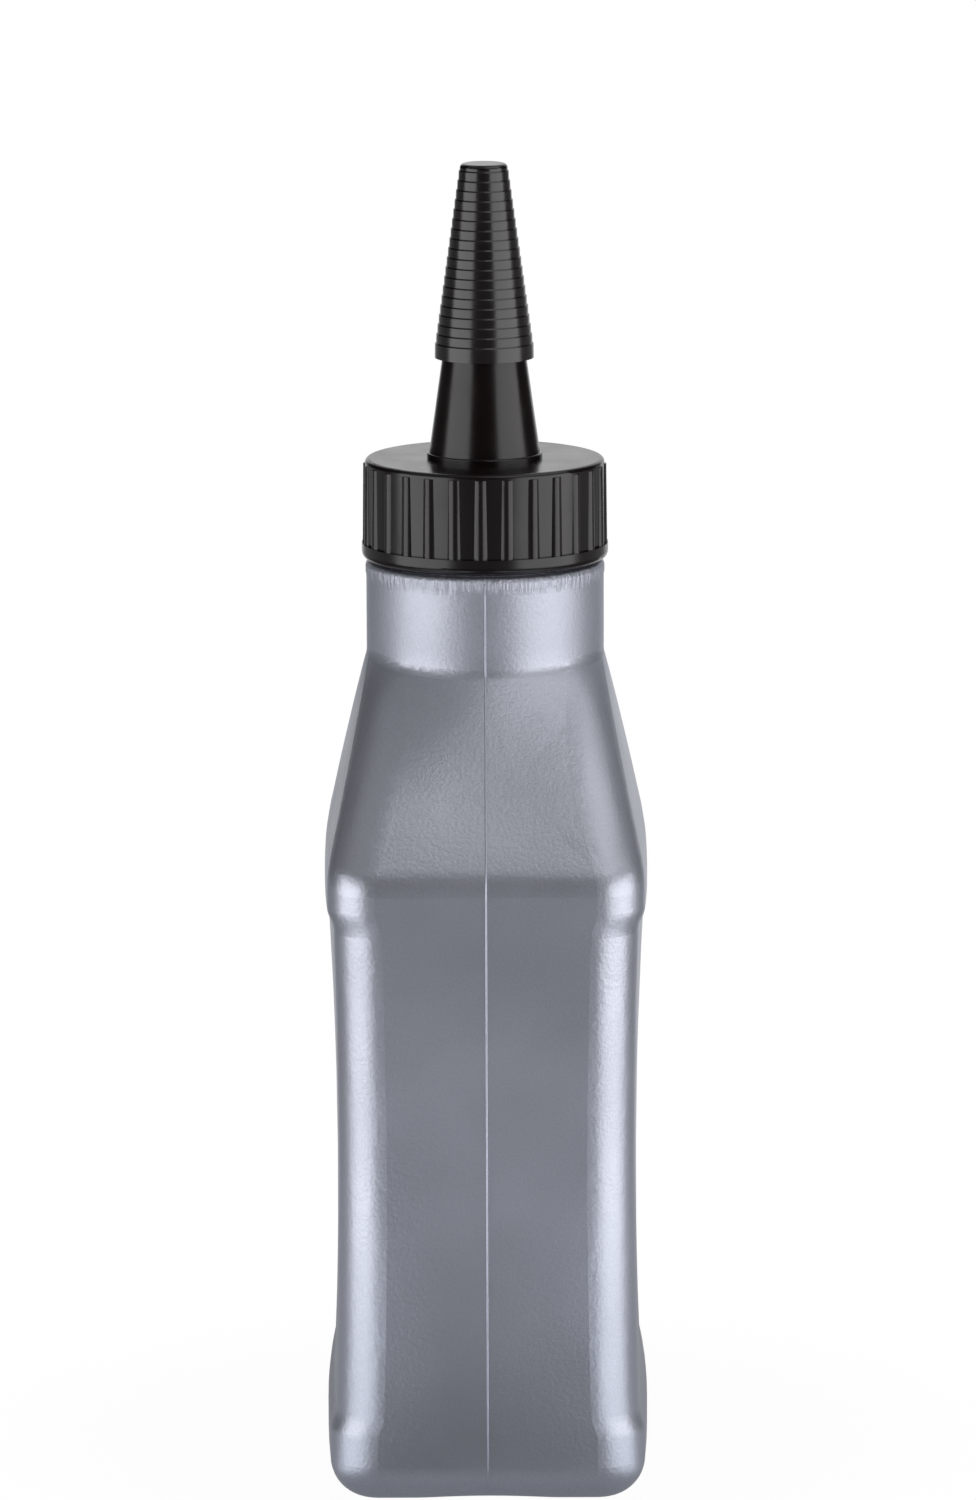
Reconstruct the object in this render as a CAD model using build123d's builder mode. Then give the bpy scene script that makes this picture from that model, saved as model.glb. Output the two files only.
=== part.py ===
from build123d import *
from math import sqrt
import os

# A one-litre fluid bottle with a screw-on pouring spout, in millimetres.
# X runs through the broad label faces, Y through the narrow sides, Z up from the standing plane.

# Bottle body
body_depth = 67.4
body_width = 110.0
corner_radius = 10.0
broad_crown = 1.05
wall = 1.2
foot_height = 18.8
foot_round = 8.2
foot_round_share = 0.9
panel_height = 101.0
band_height = 11.3
bead_height = 4.8
bead_sections = 4
panel_corner_recess = 1.3
panel_top_crown = 1.7
panel_waist_recess = 0.8
panel_waist_crown = 0.75
waist_height = 45.0

# Base, with a pushed-up middle and a shallow arch along the mould's parting line
push_up_depth = 2.0
push_up_rim = 12.0
push_up_run = 5.0
push_up_corner = 12.0
arch_rise = 1.35
arch_width = 34.0

# Shoulder and neck
shoulder_height = 39.5
shoulder_swell_depth = 0.25
shoulder_swell_width = 1.2
shoulder_corner = 11.0
narrow_half_angle = 46.0
broad_half_angle = 12.0
crease_run = 2.8
neck_dip_depth = 0.1
neck_dip_width = 1.8
neck_sink = 6.0
neck_round = 3.0
neck_diameter = 49.6
neck_height = 18.6
collar_height = 2.3
collar_step = 0.15
neck_edge_round = 1.0
neck_ledge = 3.0
ledge_wall = 1.8
finish_height = 18.3
finish_wall = 2.0
level_tolerance = 0.01

# Screw cap
thread_depth = 1.0
thread_clearance = 0.3
skirt_wall = 1.85
cap_gap = 0.5
cap_roof = 2.0
cap_edge_round = 0.9
rim_bead = 0.75
rim_height = 3.4
rim_round = 1.7
rib_count = 28
rib_height = 0.6
rib_width = 2.9
rib_root = 0.1
rib_draft = 0.6
rib_shoulder = 1.2
rib_turn = -92.0

# Sealing ring between the mouth and the cap's roof
ring_thickness = 1.2
ring_clearance = 0.3
seat_gap = 0.05

# Pouring nozzle, moulded with the cap
nozzle_height = 59.1
nozzle_foot_radius = 11.7
nozzle_tip_radius = 3.45
nozzle_wall = 1.4
foot_ring_height = 1.2
foot_ring_step = 0.5
foot_ring_round = 0.3

# Stepped tip cap over the nozzle
nozzle_bare = 21.05
tip_clearance = 0.25
tip_gap = 0.15
tip_roof = 2.25
tip_rim_wall = 1.3
tip_crown_wall = 1.27
tip_round = 0.9
lowest_band = 3.2
band_pitch = 2.0
band_draft = 0.05
band_chamfer = 0.3
least_top_band = 1.0
plug_length = 2.5
plug_clearance = 0.2

# Levels and radii that follow from the sizes above
panel_top = foot_height + panel_height
crease = panel_top + band_height
neck_base = crease + shoulder_height
neck_top = neck_base + neck_height
mouth = neck_top + finish_height
cap_base = neck_top + cap_gap
cap_underside = mouth + ring_thickness + 2 * seat_gap
cap_top = cap_underside + cap_roof
nozzle_tip = cap_top + nozzle_height
tip_rim = cap_top + nozzle_bare
tip_ceiling = nozzle_tip + tip_gap
tip_top = tip_ceiling + tip_roof

neck_radius = neck_diameter / 2
finish_radius = neck_radius - neck_ledge
bore_radius = finish_radius - finish_wall
skirt_inner = finish_radius + thread_depth + thread_clearance
skirt_radius = skirt_inner + skirt_wall
rim_radius = skirt_radius + rim_bead
nozzle_slope = (nozzle_foot_radius - nozzle_tip_radius) / nozzle_height
orifice_radius = nozzle_tip_radius - nozzle_wall


def plan_outline(level, half_depth, half_width, radius, crown):
    """Plan outline at one level: flat narrow sides, swelling broad sides and tangent corner arcs."""
    run = half_width - radius
    swell_radius = (run**2 + crown**2) / (2 * crown)
    swell_centre = half_depth - swell_radius
    corner = swell_centre + sqrt((swell_radius - radius) ** 2 - run**2)
    reach = swell_radius / (swell_radius - radius)
    meet_x = swell_centre + (corner - swell_centre) * reach
    meet_y = run * reach
    with BuildSketch(Plane.XY.offset(level)) as outline:
        with BuildLine():
            Line((-corner, half_width), (corner, half_width))
            TangentArc((corner, half_width), (meet_x, meet_y), tangent=(1, 0))
            ThreePointArc((meet_x, meet_y), (half_depth, 0), (meet_x, -meet_y))
            TangentArc((corner, -half_width), (meet_x, -meet_y), tangent=(1, 0))
            Line((corner, -half_width), (-corner, -half_width))
            TangentArc((-corner, -half_width), (-meet_x, -meet_y), tangent=(-1, 0))
            ThreePointArc((-meet_x, -meet_y), (-half_depth, 0), (-meet_x, meet_y))
            TangentArc((-corner, half_width), (-meet_x, meet_y), tangent=(-1, 0))
        make_face()
    return outline.sketch


def neck_outline(level, half_depth, half_width):
    """Oval at the top of the shoulder, cut into the same eight edges as the plan outline below it."""
    corner_angle = 90.0 - narrow_half_angle - broad_half_angle
    with BuildSketch(Plane.XY.offset(level)) as outline:
        with BuildLine():
            for side in (0.0, 180.0):
                for start, size in (
                    (-broad_half_angle, 2 * broad_half_angle),
                    (broad_half_angle, corner_angle),
                    (90.0 - narrow_half_angle, 2 * narrow_half_angle),
                    (90.0 + narrow_half_angle, corner_angle),
                ):
                    EllipticalCenterArc((0, 0), half_depth, half_width, side + start, arc_size=size)
        make_face()
    return outline.sketch


def shoulder_halves(rise, inset):
    """Half depth and half width of the shoulder at a height above the crease."""
    share = rise / shoulder_height
    swell = 4 * share * (1 - share)
    top_depth = neck_radius - neck_dip_depth
    top_width = neck_radius - neck_dip_width
    half_depth = body_depth / 2 + share * (top_depth - body_depth / 2) + swell * shoulder_swell_depth
    half_width = body_width / 2 + share * (top_width - body_width / 2) + swell * shoulder_swell_width
    return half_depth - inset, half_width - inset


def bead_outlines(level, half_width, corner, lower, upper):
    """Outlines of a bead that eases from one half depth and crown to another over its height."""
    outlines = []
    for step in range(bead_sections + 1):
        share = step / bead_sections
        eased = share**2 * (3 - 2 * share)
        half_depth, crown = [low + eased * (high - low) for low, high in zip(lower, upper)]
        outlines.append(plan_outline(level + share * bead_height, half_depth, half_width, corner, crown))
    return outlines


def edges_at(form, level):
    """Edges of a form that lie in one level plane."""
    return form.edges().filter_by_position(Axis.Z, level - level_tolerance, level + level_tolerance)


def bottle_form(inset):
    """Outer form of body, shoulder and neck, or the hollow inside it when given an inset."""
    half_width = body_width / 2 - inset
    half_depth = body_depth / 2 - inset
    corner = corner_radius - inset
    panel_crest = half_depth - panel_corner_recess + panel_top_crown - broad_crown
    panel_waist = half_depth - panel_corner_recess - panel_waist_recess + panel_waist_crown - broad_crown
    panel_foot = half_depth - panel_corner_recess
    start_depth, start_width = shoulder_halves(crease_run, inset)
    middle_depth, middle_width = shoulder_halves(shoulder_height / 2, inset)

    with BuildPart() as form:
        # Foot, full size, with a rounded bottom edge
        foot_top = foot_height - bead_height
        add(plan_outline(inset, half_depth, half_width, corner, broad_crown))
        extrude(amount=foot_top - inset)
        fillet(edges_at(form, inset), min(foot_round, foot_round_share * corner_radius) - inset)
        # Bead at the top of the foot, drawing in to the label panel
        full = (half_depth, broad_crown)
        loft(bead_outlines(foot_top, half_width, corner, full, (panel_foot, broad_crown)))
        # Label panel, slightly waisted
        loft([
            plan_outline(foot_height, panel_foot, half_width, corner, broad_crown),
            plan_outline(foot_height + waist_height, panel_waist, half_width, corner, panel_waist_crown),
            plan_outline(panel_top, panel_crest, half_width, corner, panel_top_crown),
        ])
        # Bead above the panel and the plain band under the shoulder
        loft(bead_outlines(panel_top, half_width, corner, (panel_crest, panel_top_crown), full))
        add(plan_outline(panel_top + bead_height, half_depth, half_width, corner, broad_crown))
        extrude(amount=band_height - bead_height - crease_run)
        # Rounded crease: a parabola from the upright band to the slope of the shoulder
        crease_depth = (3 * half_depth + start_depth) / 4
        crease_width = (3 * half_width + start_width) / 4
        loft([
            plan_outline(crease - crease_run, half_depth, half_width, corner, broad_crown),
            plan_outline(crease, crease_depth, crease_width, corner, broad_crown),
            plan_outline(crease + crease_run, start_depth, start_width, corner, broad_crown),
        ])
        # Shoulder, from the plan outline to an oval a little inside the neck
        loft([
            plan_outline(crease + crease_run, start_depth, start_width, corner, broad_crown),
            plan_outline(crease + shoulder_height / 2, middle_depth, middle_width, shoulder_corner - inset,
                         broad_crown),
            neck_outline(neck_base, *shoulder_halves(shoulder_height, inset)),
        ])
        # Round neck, which the shoulder meets lower on the narrow sides than on the broad ones
        neck_start = neck_base - neck_sink
        with BuildSketch(Plane.XY.offset(neck_start)):
            Circle(neck_radius - inset)
        extrude(amount=neck_sink + neck_height - (ledge_wall if inset else 0.0))
        meeting = form.edges().filter_by_position(Axis.Z, neck_start, neck_base)
        fillet(meeting, neck_round + inset)
    return form.part


def push_up(grow):
    """Pushed-up middle of the base, grown by the wall where it stands inside the hollow."""
    half_depth = body_depth / 2 - push_up_rim + grow
    half_width = body_width / 2 - push_up_rim + grow
    corner = push_up_corner + grow
    with BuildPart() as dome:
        loft([
            plan_outline(0.0, half_depth, half_width, corner, broad_crown),
            plan_outline(push_up_depth + grow, half_depth - push_up_run, half_width - push_up_run,
                         corner - push_up_run, broad_crown),
        ])
    return dome.part


def base_arch(level):
    """Shallow arch under the base from narrow side to narrow side, standing on a level."""
    below = -wall
    half = arch_width / 2
    with BuildPart() as arch:
        with BuildSketch(Plane.XZ):
            with BuildLine():
                ThreePointArc((-half, level), (0, level + arch_rise), (half, level))
                Polyline((half, level), (half, below), (-half, below), (-half, level))
            make_face()
        extrude(amount=body_width, both=True)
    return arch.part


def nozzle_radius(level):
    """Outside radius of the nozzle's cone at a level."""
    return nozzle_foot_radius - nozzle_slope * (level - cap_top)


outer_form = bottle_form(0.0)
inner_form = bottle_form(wall)

os.makedirs("parts", exist_ok=True)

# Bottle, blown in one piece
with BuildPart() as hollow:
    add(inner_form)
    add(push_up(wall), mode=Mode.SUBTRACT)
    add(base_arch(wall), mode=Mode.SUBTRACT)

with BuildPart() as bottle:
    add(outer_form)
    add(push_up(0.0), mode=Mode.SUBTRACT)
    add(base_arch(0.0), mode=Mode.SUBTRACT)
    with BuildSketch(Plane.XY.offset(neck_top - collar_height)):
        Circle(neck_radius + collar_step)
    extrude(amount=collar_height)
    fillet(bottle.edges().group_by(Axis.Z)[-1], neck_edge_round)
    with BuildSketch(Plane.XY.offset(neck_top)):
        Circle(finish_radius)
    extrude(amount=finish_height)
    add(hollow.part, mode=Mode.SUBTRACT)
    with BuildSketch(Plane.XY.offset(mouth)):
        Circle(bore_radius)
    extrude(amount=-finish_height - ledge_wall, mode=Mode.SUBTRACT)

bottle.part.label = "bottle"
export_step(bottle.part, "parts/bottle.step")

# Screw cap with its pouring nozzle, moulded in one piece
with BuildPart() as spout_cap:
    rim_top = cap_base + rim_height
    foot_ring_top = cap_top + foot_ring_height
    foot_ring_radius = nozzle_radius(foot_ring_top) + foot_ring_step
    with BuildSketch(Plane.XZ):
        with BuildLine():
            Line((skirt_inner, cap_base), (rim_radius - rim_round, cap_base))
            TangentArc((rim_radius - rim_round, cap_base), (rim_radius, cap_base + rim_round), tangent=(1, 0))
            Polyline(
                (rim_radius, cap_base + rim_round),
                (rim_radius, rim_top),
                (skirt_radius, rim_top),
                (skirt_radius, cap_top - cap_edge_round),
            )
            TangentArc(
                (skirt_radius, cap_top - cap_edge_round), (skirt_radius - cap_edge_round, cap_top), tangent=(0, 1)
            )
            Polyline(
                (skirt_radius - cap_edge_round, cap_top),
                (foot_ring_radius, cap_top),
                (foot_ring_radius, foot_ring_top - foot_ring_round),
            )
            TangentArc(
                (foot_ring_radius, foot_ring_top - foot_ring_round),
                (foot_ring_radius - foot_ring_round, foot_ring_top),
                tangent=(0, 1),
            )
            Polyline(
                (foot_ring_radius - foot_ring_round, foot_ring_top),
                (nozzle_radius(foot_ring_top), foot_ring_top),
                (nozzle_tip_radius, nozzle_tip),
                (orifice_radius, nozzle_tip),
                (nozzle_foot_radius - nozzle_wall, cap_top),
                (nozzle_foot_radius - nozzle_wall, cap_underside),
                (skirt_inner, cap_underside),
                (skirt_inner, cap_base),
            )
        make_face()
    revolve(axis=Axis.Z)
    # Rounded grip ribs, which rise from the rim bead and stop short of the top edge
    with BuildSketch(mode=Mode.PRIVATE) as rib:
        with BuildLine():
            half = rib_width / 2
            ThreePointArc((-rib_root, -half), (rib_height, 0), (-rib_root, half))
            Polyline((-rib_root, half), (-rib_height, half), (-rib_height, -half), (-rib_root, -half))
        make_face()
    with BuildSketch(Plane.XY.offset(rim_top - rim_round)):
        with PolarLocations(skirt_radius, rib_count, start_angle=rib_turn):
            add(rib.sketch)
    extrude(amount=cap_top - rib_shoulder - rim_top + rim_round, taper=rib_draft)

spout_cap.part.label = "spout_cap"
export_step(spout_cap.part, "parts/spout_cap.step")

# Sealing ring
with BuildPart() as sealing_ring:
    with BuildSketch(Plane.XY.offset(mouth + seat_gap)):
        Circle(skirt_inner - ring_clearance)
        Circle(bore_radius, mode=Mode.SUBTRACT)
    extrude(amount=ring_thickness)

sealing_ring.part.label = "sealing_ring"
export_step(sealing_ring.part, "parts/sealing_ring.step")

# Stepped tip cap
with BuildPart() as tip_cap:
    rim_inner = nozzle_radius(tip_rim) + tip_clearance
    ceiling_radius = nozzle_tip_radius + tip_clearance
    rim_outer = rim_inner + tip_rim_wall
    crown_outer = ceiling_radius + tip_crown_wall
    full_bands = int((tip_top - tip_rim - lowest_band - least_top_band) / band_pitch)
    ledge = (rim_outer - crown_outer) / (full_bands + 1)
    plug_radius = orifice_radius - plug_clearance
    steps = [(rim_outer, tip_rim)]
    for band in range(full_bands + 1):
        band_top = tip_rim + lowest_band + band * band_pitch
        steps.append((rim_outer - band * ledge - band_draft, band_top - band_chamfer))
        steps.append((rim_outer - (band + 1) * ledge, band_top))
    with BuildSketch(Plane.XZ):
        with BuildLine():
            Polyline(*steps, (crown_outer, tip_top - tip_round))
            TangentArc((crown_outer, tip_top - tip_round), (crown_outer - tip_round, tip_top), tangent=(0, 1))
            Polyline(
                (crown_outer - tip_round, tip_top),
                (0, tip_top),
                (0, tip_ceiling - plug_length),
                (plug_radius, tip_ceiling - plug_length),
                (plug_radius, tip_ceiling),
                (ceiling_radius, tip_ceiling),
                (rim_inner, tip_rim),
                (rim_outer, tip_rim),
            )
        make_face()
    revolve(axis=Axis.Z)

tip_cap.part.label = "tip_cap"
export_step(tip_cap.part, "parts/tip_cap.step")
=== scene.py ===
from math import cos, pi, radians, sin, tan, tau

import bpy
from mathutils import Matrix, Vector
from mathutils.bvhtree import BVHTree


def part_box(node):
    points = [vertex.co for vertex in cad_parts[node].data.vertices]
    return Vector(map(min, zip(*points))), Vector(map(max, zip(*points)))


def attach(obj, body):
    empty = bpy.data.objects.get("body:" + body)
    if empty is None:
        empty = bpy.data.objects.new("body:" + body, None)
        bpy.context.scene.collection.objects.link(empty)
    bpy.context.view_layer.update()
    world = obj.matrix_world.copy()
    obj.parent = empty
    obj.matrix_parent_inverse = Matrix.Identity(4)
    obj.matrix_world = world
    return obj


# A one-litre fluid bottle with a screw-on pouring spout, dressed over its solids, in metres.
# X runs through the broad faces, Y through the narrow sides, Z up from the standing plane.

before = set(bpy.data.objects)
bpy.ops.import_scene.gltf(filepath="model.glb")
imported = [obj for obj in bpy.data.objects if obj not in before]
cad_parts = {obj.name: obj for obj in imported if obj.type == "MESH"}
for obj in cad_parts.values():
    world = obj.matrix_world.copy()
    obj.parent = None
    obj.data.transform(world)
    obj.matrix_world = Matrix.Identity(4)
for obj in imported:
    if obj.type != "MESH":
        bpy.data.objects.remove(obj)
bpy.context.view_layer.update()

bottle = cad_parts["bottle"]
spout_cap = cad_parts["spout_cap"]
tip_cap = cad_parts["tip_cap"]
sealing_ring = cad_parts["sealing_ring"]

bottle_low, bottle_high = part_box("bottle")
cap_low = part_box("spout_cap")[0]

MM = 0.001

# Photograph's camera: a long lens, looking a little down along +Y
IMAGE_HEIGHT = 1500
PIXELS_PER_METRE = 4770.0
CAMERA_DISTANCE = 1.8
CAMERA_ELEVATION = radians(10.66)
CAMERA_ROLL = radians(-0.19)
AIM = Vector((0.0005, 0.0, 0.1487))
SENSOR = 36.0

# Soft boxes: azimuth from the camera's side and lower and upper elevation, in degrees
SOFTBOX_DISTANCE = 1.0
LAMP_COLOUR = (1.0, 0.957, 0.898)
SOFTBOXES = {
    "softbox_left": {"azimuth": -61.5, "low": -22.0, "high": 22.0, "width": 1.12, "radiance": 3.05},
    "softbox_right": {"azimuth": 61.0, "low": -22.0, "high": 25.0, "width": 1.25, "radiance": 3.05},
    "softbox_top": {"azimuth": 0.0, "low": 51.0, "high": 113.0, "width": 2.6, "radiance": 0.10},
    "softbox_high": {"azimuth": 63.0, "low": 42.0, "high": 78.0, "width": 1.25, "radiance": 1.5},
    "softbox_high_left": {"azimuth": -58.0, "low": 42.0, "high": 78.0, "width": 1.25, "radiance": 0.27},
}

# World: a white wall behind and a pale ground in a dark room, placed by direction
WHITE = (1.0, 1.0, 1.0, 1.0)
ROOM_DARK = 0.02
WALL_ASIDE = 0.05
WALL_EDGE = 0.52
WALL_FULL = 0.34
WALL_BACK_EDGE = 0.3
WALL_BACK_FULL = 0.6
GROUND_GLOW = 0.33
GROUND_START = -0.04
GROUND_FULL = -0.13
GROUND_FADE = -0.20
GROUND_END = -0.34
GROUND_END_SHARE = 0.3

# Round floor, just under the standing plane, with a faint shadow near the bottle
FLOOR_RADIUS = 0.24
FLOOR_POINTS = 96
FLOOR_DROP = 0.1 * MM
FLOOR_GREY = (0.5, 0.5, 0.5, 1.0)
FLOOR_ROUGHNESS = 0.9
FLOOR_GLOW = 0.97
SHADOW_NEAR = 0.233 * FLOOR_RADIUS
SHADOW_FAR = 0.533 * FLOOR_RADIUS

# Floor as the bottle mirrors it, painted light seen only in reflections: dark in front, paler at the foot,
# bright at the sides
FRONT_GLOW = 0.07
FOOT_GLOW = 0.38
FOOT_NEAR = 1.15 * bottle_low.y
FOOT_FAR = 1.5 * bottle_low.y
SIDE_GLOW = 2.2
SIDE_GLOW_FAR = 1.4
SIDE_START = 0.9 * bottle_high.x
SIDE_FULL = 1.6 * bottle_high.x
SIDE_FAR = 3.0 * bottle_high.x
SIDE_BACK = 0.6 * bottle_low.y
SIDE_FRONT = bottle_low.y

# Range that holds most values of a noise texture
NOISE_LOW = 0.3
NOISE_HIGH = 0.7

# Bottle's plastic: pearl flakes under a satin skin, duller on the neck
PLASTIC_IOR = 1.5
PEARL_METALLIC = 0.76
PEARL_DARK = (0.328, 0.354, 0.432, 1.0)
PEARL_LIGHT = (0.400, 0.432, 0.527, 1.0)
SATIN_SMOOTH = 0.36
SATIN_ROUGH = 0.42
NECK_LOW = 166.0 * MM
NECK_FULL = 174.0 * MM
NECK_DULL = 0.10
FLAKES = {"scale": 2600.0, "detail": 3.0, "roughness": 0.7}
CLOUDS = {"scale": 45.0}
PEEL = {"scale": 1300.0, "detail": 3.0, "roughness": 0.55}
PEEL_BUMP = {"distance": 0.08 * MM, "strength": 0.8}
RIPPLES = {"scale": 220.0}
RIPPLE_BUMP = {"distance": 0.08 * MM, "strength": 0.4}

# Frayed fibres on the neck's collar, which starts and is full at these distances below the cap
COLLAR_START = 4.2 * MM
COLLAR_FULL = 2.8 * MM
FIBRES = {"scale": 450.0, "detail": 5.0, "roughness": 0.65}
FIBRE_STRETCH = (1.0, 1.0, 0.12)
FIBRE_LOW = -0.4
FIBRE_HIGH = 0.6
FIBRE_BUMP = {"distance": 0.8 * MM, "strength": 1.0}

# Soft edge between the shoulder's facet and its corners: a parabola over the height
FACET_EDGE = 16.6 * MM
FACET_EDGE_LEVEL = 161.0 * MM
FACET_EDGE_SPREAD = 7.45
FACET_SOFT_WIDTH = 8.0 * MM
FACET_BUMP = {"distance": 0.17 * MM, "strength": 1.0}
FACET_BOTTOM = 131.0 * MM
FACET_TOP = 168.0 * MM
FACET_FADE = 8.0 * MM

# Caps' plastic: black, a little duller on the spout than on the tip
SPOUT_SHINE = 0.37
TIP_SHINE = 0.52
CAP_SHINE_TINT = (0.90, 0.935, 1.0, 1.0)
CAP_DARK = (0.0036, 0.0022, 0.0025, 1.0)
CAP_LIGHT = (0.0058, 0.0036, 0.0040, 1.0)
CAP_SMOOTH = 0.20
CAP_ROUGH = 0.26
CAP_CLOUDS = {"scale": 120.0, "detail": 3.0}
CAP_GRAIN = {"scale": 1500.0}
CAP_GRAIN_BUMP = {"distance": 0.01 * MM, "strength": 0.35}
CAP_WAVES = {"scale": 160.0, "detail": 1.0}
CAP_WAVE_BUMP = {"distance": 0.05 * MM, "strength": 0.25}

# Seal's foam
FOAM_DARK = (0.76, 0.76, 0.73, 1.0)
FOAM_LIGHT = (0.84, 0.84, 0.82, 1.0)
FOAM_ROUGHNESS = 0.8
FOAM_CELLS = {"scale": 1800.0}
FOAM_BUMP = {"distance": 0.05 * MM, "strength": 0.5}

# Mould's parting line and base weld: low ridges, with their flanks in shares of width and height
SEAM_WIDTH = 0.5 * MM
SEAM_HEIGHT = 0.18 * MM
SEAM_SINK = 0.05 * MM
SEAM_STEP = 1.0 * MM
SEAM_TOP_GAP = 1.6 * MM
WELD_WIDTH = 1.4 * MM
WELD_HEIGHT = 0.3 * MM
RIDGE_FLANK = 0.3
RIDGE_FLANK_HEIGHT = 0.7
FOOT_ROUND = 8.2 * MM
FOOT_STEPS = 12

# Rays are cast this far off the middle plane, clear of the mesh's edges
NUDGE = 0.01 * MM

# Screw thread, right-hand: sink, end height and end width are shares of its full size
THREAD_LEAD = 4.0 * MM
THREAD_DEPTH = 0.95 * MM
THREAD_BASE = 1.7 * MM
THREAD_CREST = 0.7 * MM
THREAD_SINK = 0.1
THREAD_DROP = 15.0 * MM
THREAD_TURNS = 2.5
THREAD_STEPS = 96
THREAD_FADE = 4.0
THREAD_END_HEIGHT = 0.05
THREAD_END_WIDTH = 0.5


def material(name):
    """New node material and its shader."""
    made = bpy.data.materials.new(name)
    made.use_nodes = True
    return made, made.node_tree.nodes["Principled BSDF"]


def node(made, kind, **inputs):
    """Adds a node and sets its inputs by name."""
    added = made.node_tree.nodes.new(kind)
    for key, value in inputs.items():
        added.inputs[key.replace("_", " ")].default_value = value
    return added


def link(made, source, target):
    """Joins two sockets."""
    made.node_tree.links.new(source, target)


def place_in(made):
    """Place on the object, in its own frame."""
    return node(made, "ShaderNodeTexCoord").outputs["Object"]


def axes(made, vector):
    """A vector's X, Y and Z."""
    split = node(made, "ShaderNodeSeparateXYZ")
    link(made, vector, split.inputs["Vector"])
    return split.outputs["X"], split.outputs["Y"], split.outputs["Z"]


def ramp(made, source, low, high, low_value, high_value):
    """Maps a value from one range to another, clamped."""
    mapped = node(made, "ShaderNodeMapRange")
    mapped.inputs["From Min"].default_value = low
    mapped.inputs["From Max"].default_value = high
    mapped.inputs["To Min"].default_value = low_value
    mapped.inputs["To Max"].default_value = high_value
    link(made, source, mapped.inputs["Value"])
    return mapped.outputs["Result"]


def combine(made, operation, *values):
    """Math operation on one or two values, each a socket or a number."""
    added = node(made, "ShaderNodeMath")
    added.operation = operation
    for value, socket in zip(values, added.inputs):
        if isinstance(value, float):
            socket.default_value = value
        else:
            link(made, value, socket)
    return added.outputs["Value"]


def noise(made, vector, scale, detail=2.0, roughness=0.5):
    """Noise over a place."""
    added = node(made, "ShaderNodeTexNoise", Scale=scale, Detail=detail, Roughness=roughness)
    link(made, vector, added.inputs["Vector"])
    return added.outputs["Fac"]


def bump(made, height, normal=None, *, distance, strength):
    """Normal of a height, laid over another normal."""
    added = node(made, "ShaderNodeBump", Distance=distance, Strength=strength)
    link(made, height, added.inputs["Height"])
    if normal is not None:
        link(made, normal, added.inputs["Normal"])
    return added.outputs["Normal"]


def mottle(made, shader, amount, dark, light):
    """Base colour that varies between two colours."""
    mixed = node(made, "ShaderNodeMix")
    mixed.data_type = "RGBA"
    mixed.inputs["A"].default_value = dark
    mixed.inputs["B"].default_value = light
    link(made, amount, mixed.inputs["Factor"])
    link(made, mixed.outputs["Result"], shader.inputs["Base Color"])


def mix(made, share, first, second):
    """Mix of two shaders."""
    added = node(made, "ShaderNodeMixShader")
    link(made, share, added.inputs["Fac"])
    link(made, first, added.inputs[1])
    link(made, second, added.inputs[2])
    return added.outputs["Shader"]


def facet_edges(made, across, level):
    """Height that rounds off the edges between the shoulder's narrow facets and its corners."""
    below = combine(made, "SUBTRACT", FACET_EDGE_LEVEL, level)
    bow = combine(made, "MULTIPLY", combine(made, "MULTIPLY", below, below), FACET_EDGE_SPREAD)
    edge = combine(made, "ADD", bow, FACET_EDGE)
    past = combine(made, "SUBTRACT", combine(made, "ABSOLUTE", across), edge)
    near = ramp(made, combine(made, "ABSOLUTE", past), 0.0, FACET_SOFT_WIDTH, 1.0, 0.0)
    rising = ramp(made, level, FACET_BOTTOM, FACET_BOTTOM + FACET_FADE, 0.0, -1.0)
    ending = ramp(made, level, FACET_TOP - FACET_FADE, FACET_TOP, 1.0, 0.0)
    dip = combine(made, "MULTIPLY", near, near)
    return combine(made, "MULTIPLY", dip, combine(made, "MULTIPLY", rising, ending))


def collar_fibres(made, place, level):
    """Height of the drawn, frayed fibres around the neck, just below the cap."""
    collar = ramp(made, level, cap_low.z - COLLAR_START, cap_low.z - COLLAR_FULL, 0.0, 1.0)
    drawn = node(made, "ShaderNodeMapping", Scale=FIBRE_STRETCH)
    link(made, place, drawn.inputs["Vector"])
    strands = noise(made, drawn.outputs["Vector"], **FIBRES)
    fibres = ramp(made, strands, 0.0, 1.0, FIBRE_LOW, FIBRE_HIGH)
    return combine(made, "MULTIPLY", fibres, collar)


def bottle_plastic():
    """Silver-grey pearl polyethylene with a fine blow-moulded grain."""
    made, shader = material("bottle_plastic")
    place = place_in(made)
    across, _, level = axes(made, place)
    shader.inputs["Metallic"].default_value = PEARL_METALLIC
    shader.inputs["IOR"].default_value = PLASTIC_IOR
    flakes = ramp(made, noise(made, place, **FLAKES), NOISE_LOW, NOISE_HIGH, 0.0, 1.0)
    mottle(made, shader, flakes, PEARL_DARK, PEARL_LIGHT)
    clouds = noise(made, place, **CLOUDS)
    satin = ramp(made, clouds, NOISE_LOW, NOISE_HIGH, SATIN_SMOOTH, SATIN_ROUGH)
    duller = ramp(made, level, NECK_LOW, NECK_FULL, 0.0, NECK_DULL)
    link(made, combine(made, "ADD", satin, duller), shader.inputs["Roughness"])
    normal = bump(made, facet_edges(made, across, level), **FACET_BUMP)
    normal = bump(made, noise(made, place, **PEEL), normal, **PEEL_BUMP)
    normal = bump(made, noise(made, place, **RIPPLES), normal, **RIPPLE_BUMP)
    normal = bump(made, collar_fibres(made, place, level), normal, **FIBRE_BUMP)
    link(made, normal, shader.inputs["Normal"])
    return made


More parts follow.
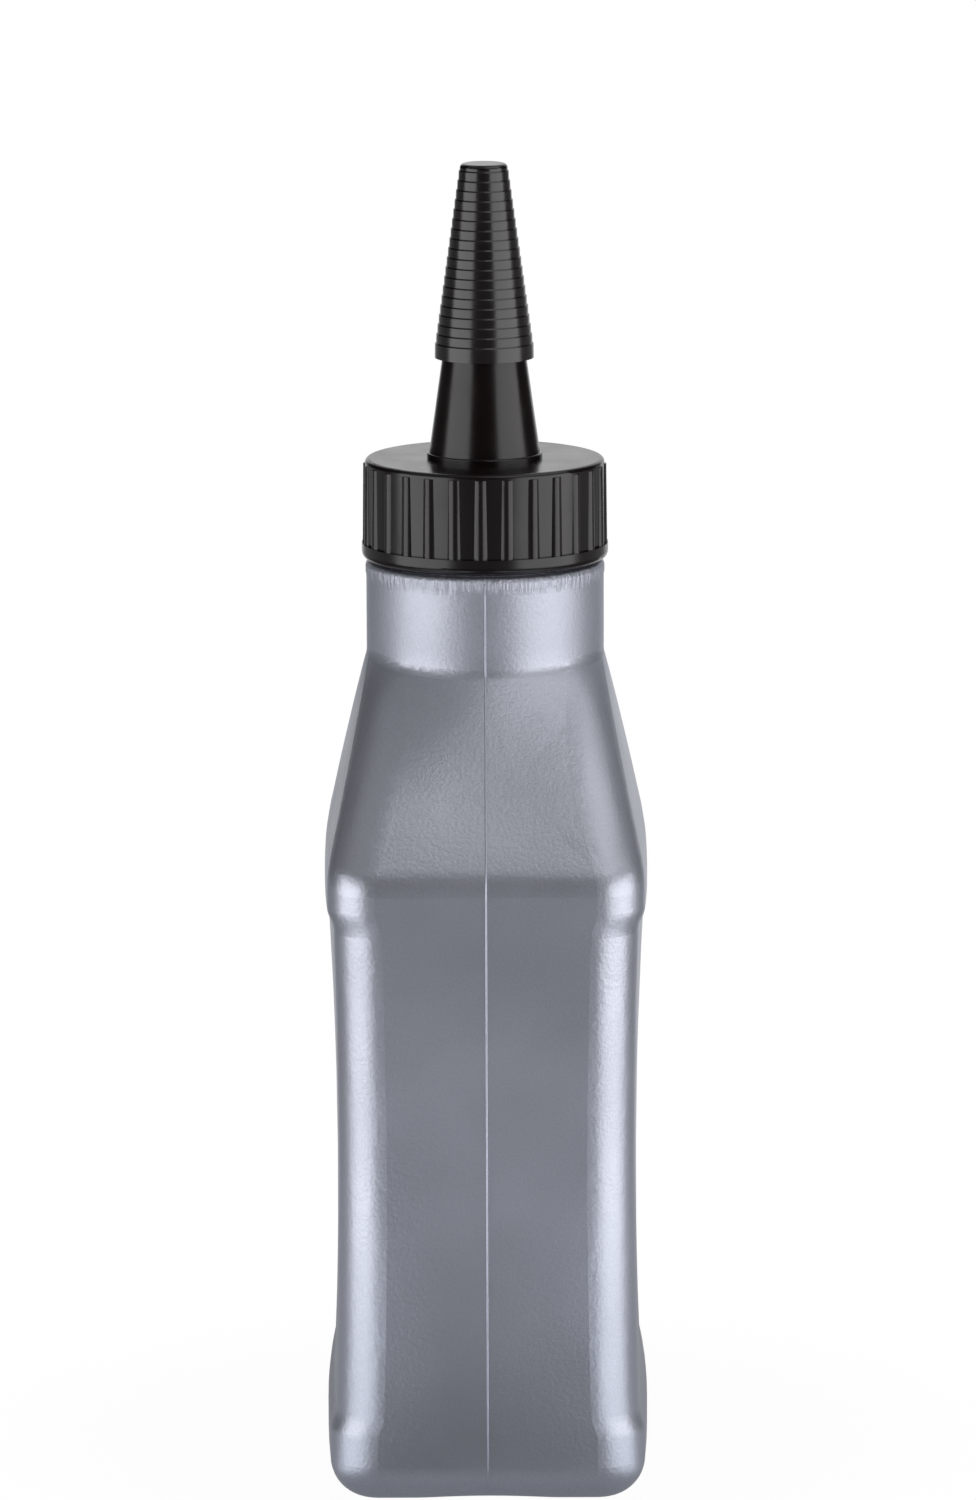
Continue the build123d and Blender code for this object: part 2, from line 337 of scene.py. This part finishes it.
def cap_plastic(name, shine):
    """Black moulded polyethylene, semi-gloss."""
    made, shader = material(name)
    place = place_in(made)
    shader.inputs["IOR"].default_value = PLASTIC_IOR
    shader.inputs["Specular IOR Level"].default_value = shine
    shader.inputs["Specular Tint"].default_value = CAP_SHINE_TINT
    clouds = noise(made, place, **CAP_CLOUDS)
    mottle(made, shader, clouds, CAP_DARK, CAP_LIGHT)
    satin = ramp(made, clouds, NOISE_LOW, NOISE_HIGH, CAP_SMOOTH, CAP_ROUGH)
    link(made, satin, shader.inputs["Roughness"])
    normal = bump(made, noise(made, place, **CAP_GRAIN), **CAP_GRAIN_BUMP)
    normal = bump(made, noise(made, place, **CAP_WAVES), normal, **CAP_WAVE_BUMP)
    link(made, normal, shader.inputs["Normal"])
    return made


def seal_foam():
    """Off-white foamed polyethylene, matt."""
    made, shader = material("seal_foam")
    shader.inputs["Roughness"].default_value = FOAM_ROUGHNESS
    cells = noise(made, place_in(made), **FOAM_CELLS)
    mottle(made, shader, cells, FOAM_DARK, FOAM_LIGHT)
    link(made, bump(made, cells, **FOAM_BUMP), shader.inputs["Normal"])
    return made


def floor_white():
    """White with a faint shadow to the camera, painted light and shade seen only in reflections, clear
    from below.
    """
    made, shader = material("floor_white")
    shader.inputs["Base Color"].default_value = FLOOR_GREY
    shader.inputs["Roughness"].default_value = FLOOR_ROUGHNESS
    path = node(made, "ShaderNodeLightPath")
    place = place_in(made)
    x, y, _ = axes(made, place)
    reach = node(made, "ShaderNodeVectorMath")
    reach.operation = "LENGTH"
    link(made, place, reach.inputs[0])
    cover = ramp(made, reach.outputs["Value"], SHADOW_NEAR, SHADOW_FAR, FLOOR_GLOW, 1.0)
    seen = combine(made, "MAXIMUM", path.outputs["Is Camera Ray"], path.outputs["Is Transmission Ray"])
    mirrored = path.outputs["Is Glossy Ray"]

    # Painted light on the floor, seen only in reflections: dark in front, paler at the foot, bright at the
    # sides
    aside = combine(made, "ABSOLUTE", x)
    sides = ramp(made, aside, SIDE_START, SIDE_FULL, 0.0, 1.0)
    ahead = ramp(made, y, SIDE_BACK, SIDE_FRONT, 0.0, 1.0)
    level = ramp(made, aside, SIDE_FULL, SIDE_FAR, SIDE_GLOW, SIDE_GLOW_FAR)
    beside = combine(made, "MULTIPLY", combine(made, "MULTIPLY", sides, ahead), level)
    foot = ramp(made, y, FOOT_FAR, FOOT_NEAR, FRONT_GLOW, FOOT_GLOW)
    painted_floor_light = combine(made, "MULTIPLY", mirrored, combine(made, "MAXIMUM", foot, beside))

    glow = node(made, "ShaderNodeEmission")
    link(made, combine(made, "MAXIMUM", seen, painted_floor_light), glow.inputs["Strength"])
    share = combine(made, "MAXIMUM", combine(made, "MULTIPLY", seen, cover), mirrored)
    above = mix(made, share, shader.outputs["BSDF"], glow.outputs["Emission"])
    below = node(made, "ShaderNodeNewGeometry").outputs["Backfacing"]
    clear = node(made, "ShaderNodeBsdfTransparent").outputs["BSDF"]
    output = made.node_tree.nodes["Material Output"]
    link(made, mix(made, below, above, clear), output.inputs["Surface"])
    return made


def dress(piece, finish):
    """Gives a piece its material and the record's slot."""
    piece.data.materials.clear()
    piece.data.materials.append(finish)


def add_object(name, data):
    """New object in the scene."""
    added = bpy.data.objects.new(name, data)
    bpy.context.scene.collection.objects.link(added)
    return added


def mesh_piece(name, rings):
    """Skin over rings of points, each ring joined to the next, with the ends closed."""
    count = len(rings[0])
    points = [point for ring in rings for point in ring]
    faces = []
    for row in range(len(rings) - 1):
        here = row * count
        ahead = here + count
        for spot in range(count):
            after = (spot + 1) % count
            faces.append((here + spot, here + after, ahead + after, ahead + spot))
    faces.append(tuple(reversed(range(count))))
    faces.append(tuple(range(len(points) - count, len(points))))
    mesh = bpy.data.meshes.new(name)
    mesh.from_pydata(points, [], faces)
    mesh.validate()
    mesh.update()
    for polygon in mesh.polygons:
        polygon.use_smooth = True
    return add_object(name, mesh)


def surface(piece):
    """Tree of a solid's faces, to find points on its skin."""
    mesh = piece.data
    return BVHTree.FromPolygons(
        [vertex.co for vertex in mesh.vertices], [polygon.vertices for polygon in mesh.polygons]
    )


def ridge(name, path, width, height, finish):
    """Low rounded ridge along a path on the bottle's middle plane, standing away from its inside."""
    section = (
        (-0.5, -SEAM_SINK),
        (-RIDGE_FLANK, RIDGE_FLANK_HEIGHT * height),
        (0.0, height),
        (RIDGE_FLANK, RIDGE_FLANK_HEIGHT * height),
        (0.5, -SEAM_SINK),
    )
    across = Vector((1.0, 0.0, 0.0))
    inside = Vector((0.0, 0.0, (bottle_low.z + bottle_high.z) / 3))
    last = len(path) - 1
    rings = []
    for spot, point in enumerate(path):
        along = (path[min(spot + 1, last)] - path[max(spot - 1, 0)]).normalized()
        out = along.cross(across).normalized()
        if out.dot(point - inside) < 0.0:
            out = -out
        rings.append([point + Vector((share * width, 0.0, 0.0)) + out * rise for share, rise in section])
    piece = mesh_piece(name, rings)
    dress(piece, finish)
    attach(piece, "bottle")


def parting_lines(finish):
    """Thin ridges where the mould's halves met: down both narrow sides, and a weld across the base."""
    skin = surface(bottle)
    reach = 2 * bottle_high.y
    foot_centre = Vector((0.0, bottle_high.y - FOOT_ROUND, FOOT_ROUND))
    top = cap_low.z - SEAM_TOP_GAP
    levels = int((top - FOOT_ROUND) / SEAM_STEP)
    for name, side in (("parting_line_front", -1.0), ("parting_line_back", 1.0)):
        path = []
        inward = Vector((0.0, -side, 0.0))
        for step in range(levels + 1):
            level = top + (FOOT_ROUND - top) * step / levels
            path.append(skin.ray_cast(Vector((NUDGE, side * reach, level)), inward)[0])
        for step in range(1, FOOT_STEPS):
            angle = pi / 2 * step / FOOT_STEPS
            way = Vector((0.0, side * cos(angle), -sin(angle)))
            start = Vector((NUDGE, side * foot_centre.y, foot_centre.z)) + way * reach
            path.append(skin.ray_cast(start, -way)[0])
        ridge(name, path, SEAM_WIDTH, SEAM_HEIGHT, finish)
    path = []
    steps = int(2 * foot_centre.y / SEAM_STEP)
    for step in range(steps + 1):
        along = foot_centre.y * (2.0 * step / steps - 1.0)
        path.append(skin.ray_cast(Vector((NUDGE, along, -reach)), Vector((0.0, 0.0, 1.0)))[0])
    ridge("base_weld", path, WELD_WIDTH, WELD_HEIGHT, finish)


def thread_ridge(name, base_radius, depth, start, body, finish):
    """Helical ridge that stands on a cylinder, outwards or inwards, and fades at both ends."""
    rings = []
    total = int(THREAD_STEPS * THREAD_TURNS)
    root = -THREAD_SINK * depth
    for step in range(total + 1):
        angle = tau * step / THREAD_STEPS
        level = start + THREAD_LEAD * step / THREAD_STEPS
        fade = min(1.0, THREAD_FADE * step / THREAD_STEPS, THREAD_FADE * (total - step) / THREAD_STEPS)
        height = depth * (THREAD_END_HEIGHT + (1.0 - THREAD_END_HEIGHT) * fade)
        slim = THREAD_END_WIDTH + (1.0 - THREAD_END_WIDTH) * fade
        half_base = THREAD_BASE / 2 * slim
        half_crest = THREAD_CREST / 2 * slim
        section = ((root, -half_base), (height, -half_crest), (height, half_crest), (root, half_base))
        rings.append([
            ((base_radius + out) * cos(angle), (base_radius + out) * sin(angle), level + up)
            for out, up in section
        ])
    piece = mesh_piece(name, rings)
    dress(piece, finish)
    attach(piece, body)


def threads(neck_finish, cap_finish):
    """Right-hand thread on the neck and, half a lead above it, in the cap."""
    start = bottle_high.z - THREAD_DROP
    cap_start = start + THREAD_LEAD / 2
    axis = Vector((NUDGE, NUDGE, start))
    across = Vector((1.0, 0.0, 0.0))
    neck_radius = surface(bottle).ray_cast(axis + across, -across)[0].x
    cap_radius = surface(spout_cap).ray_cast(axis, across)[0].x
    thread_ridge("neck_thread", neck_radius, THREAD_DEPTH, start, "bottle", neck_finish)
    thread_ridge("cap_thread", cap_radius, -THREAD_DEPTH, cap_start, "spout", cap_finish)


def facing(way, distance):
    """Place in a direction from the aim, at a distance, that looks back at it."""
    turn = (-way).to_track_quat("-Z", "Y").to_matrix().to_4x4()
    return Matrix.Translation(AIM + way * distance) @ turn


def make_camera():
    """Camera at the photograph's viewing angle."""
    data = bpy.data.cameras.new("camera")
    data.sensor_width = SENSOR
    data.lens = PIXELS_PER_METRE * CAMERA_DISTANCE / IMAGE_HEIGHT * SENSOR
    camera = add_object("camera", data)
    way = Vector((0.0, -cos(CAMERA_ELEVATION), sin(CAMERA_ELEVATION)))
    camera.matrix_world = facing(way, CAMERA_DISTANCE) @ Matrix.Rotation(CAMERA_ROLL, 4, "Z")
    bpy.context.scene.camera = camera


def make_softbox(name, azimuth, low, high, width, radiance):
    """Area lamp that faces the bottle, between two elevations, and that the camera doesn't see."""
    aside = radians(azimuth)
    middle = radians((low + high) / 2)
    height = 2 * SOFTBOX_DISTANCE * tan(radians((high - low) / 2))
    data = bpy.data.lights.new(name, "AREA")
    data.shape = "RECTANGLE"
    data.size = width
    data.size_y = height
    data.energy = radiance * pi * width * height
    data.color = LAMP_COLOUR
    lamp = add_object(name, data)
    way = Vector((sin(aside) * cos(middle), -cos(aside) * cos(middle), sin(middle)))
    lamp.matrix_world = facing(way, SOFTBOX_DISTANCE)
    lamp.visible_camera = False


def make_world():
    """White for the camera; for the bottle a white wall behind it, a pale ground and dark all round."""
    world = bpy.data.worlds.new("studio")
    bpy.context.scene.world = world
    world.use_nodes = True
    background = world.node_tree.nodes["Background"]
    background.inputs["Color"].default_value = WHITE
    path = node(world, "ShaderNodeLightPath")
    x, y, z = axes(world, node(world, "ShaderNodeTexCoord").outputs["Generated"])
    aside = combine(world, "ABSOLUTE", combine(world, "SUBTRACT", x, WALL_ASIDE))
    across = ramp(world, aside, WALL_EDGE, WALL_FULL, 0.0, 1.0)
    behind = ramp(world, y, WALL_BACK_EDGE, WALL_BACK_FULL, 0.0, 1.0)
    wall = ramp(world, combine(world, "MULTIPLY", across, behind), 0.0, 1.0, ROOM_DARK, 1.0)
    horizon = ramp(world, z, GROUND_START, GROUND_FULL, 0.0, GROUND_GLOW)
    nearer = ramp(world, z, GROUND_FADE, GROUND_END, 1.0, GROUND_END_SHARE)
    lit = combine(world, "MAXIMUM", wall, combine(world, "MULTIPLY", horizon, nearer))
    seen = combine(world, "MAXIMUM", path.outputs["Is Camera Ray"], path.outputs["Is Transmission Ray"])
    link(world, combine(world, "MAXIMUM", seen, lit), background.inputs["Strength"])


def make_floor():
    """Round floor of the stage."""
    angles = [tau * spot / FLOOR_POINTS for spot in range(FLOOR_POINTS)]
    rim = [(FLOOR_RADIUS * cos(angle), FLOOR_RADIUS * sin(angle), -FLOOR_DROP) for angle in angles]
    mesh = bpy.data.meshes.new("floor")
    mesh.from_pydata(rim, [], [tuple(range(len(rim)))])
    mesh.materials.append(floor_white())
    add_object("floor", mesh)


grey = bottle_plastic()
black = cap_plastic("cap_plastic", SPOUT_SHINE)
tip_black = cap_plastic("tip_plastic", TIP_SHINE)
dress(bottle, grey)
dress(spout_cap, black)
dress(tip_cap, tip_black)
dress(sealing_ring, seal_foam())

parting_lines(grey)
threads(grey, black)

make_camera()
make_world()
make_floor()
for name, box in SOFTBOXES.items():
    make_softbox(name, **box)
bpy.context.scene.view_settings.view_transform = "Standard"
